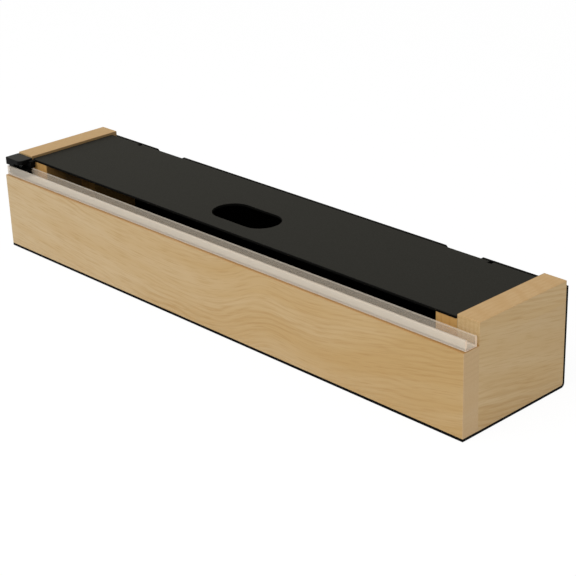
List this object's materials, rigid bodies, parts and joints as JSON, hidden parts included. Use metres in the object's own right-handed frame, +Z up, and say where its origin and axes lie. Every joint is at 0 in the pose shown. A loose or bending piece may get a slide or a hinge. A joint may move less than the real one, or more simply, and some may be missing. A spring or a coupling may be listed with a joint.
{
  "type": "drawer wrap organizer",
  "caption": "Long wooden box for a roll of kitchen wrap, with a hinged sheet lid that has a finger hole and a slide cutter running in a clear track along its front.",
  "frame": {"origin": "on the underside of the base, under the middle of the box", "axes": "+X along the box to the right as seen from the front, +Y from the front to the back, +Z up"},
  "size_m": [0.4, 0.0846, 0.0636],
  "materials": {
    "panel_wood": "clear lacquered, pale, fine grain",
    "block_wood": "sawn and sanded, unfinished",
    "black_sheet": "matte black powder coat",
    "lid_sheet": "satin charcoal powder coat",
    "hinge_steel": "blackened",
    "bright_steel": "bright",
    "frosted_plastic": "frosted clear extrusion",
    "tape": "thin double-sided tape",
    "cutter_plastic": "fine moulded texture"
  },
  "bodies": {
    "box": {"front_panel": "panel_wood", "left_end_panel": "panel_wood", "right_end_panel": "panel_wood", "left_front_block": "block_wood", "right_front_block": "block_wood", "left_rear_block": "block_wood", "right_rear_block": "block_wood", "base_back_sheet": "black_sheet", "left_hinge_back_leaf": "hinge_steel", "left_hinge_pin": "bright_steel", "right_hinge_back_leaf": "hinge_steel", "right_hinge_pin": "bright_steel", "hinge_rivets": "hinge_steel", "cutter_track": "frosted_plastic", "track_tape": "tape", "front_dowels": "block_wood", "base_screws": "hinge_steel", "back_screws": "hinge_steel"},
    "lid": {"lid": "lid_sheet", "left_hinge_lid_leaf": "hinge_steel", "right_hinge_lid_leaf": "hinge_steel"},
    "cutter": {"cutter_cap": "cutter_plastic", "cutter_shoe": "cutter_plastic", "cutter_blade": "bright_steel", "cutter_screw": "bright_steel"}
  },
  "joints": [
    {"name": "lid_hinge", "type": "hinge", "parent": "box", "child": "lid", "pos_m": [0, 0.03682, 0.0588], "axis": [-1, 0, 0], "range_deg": [0, 100]},
    {"name": "cutter_slide", "type": "slide", "parent": "box", "child": "cutter", "axis": [1, 0, 0], "range_m": [0, 0.3805]}
  ]
}
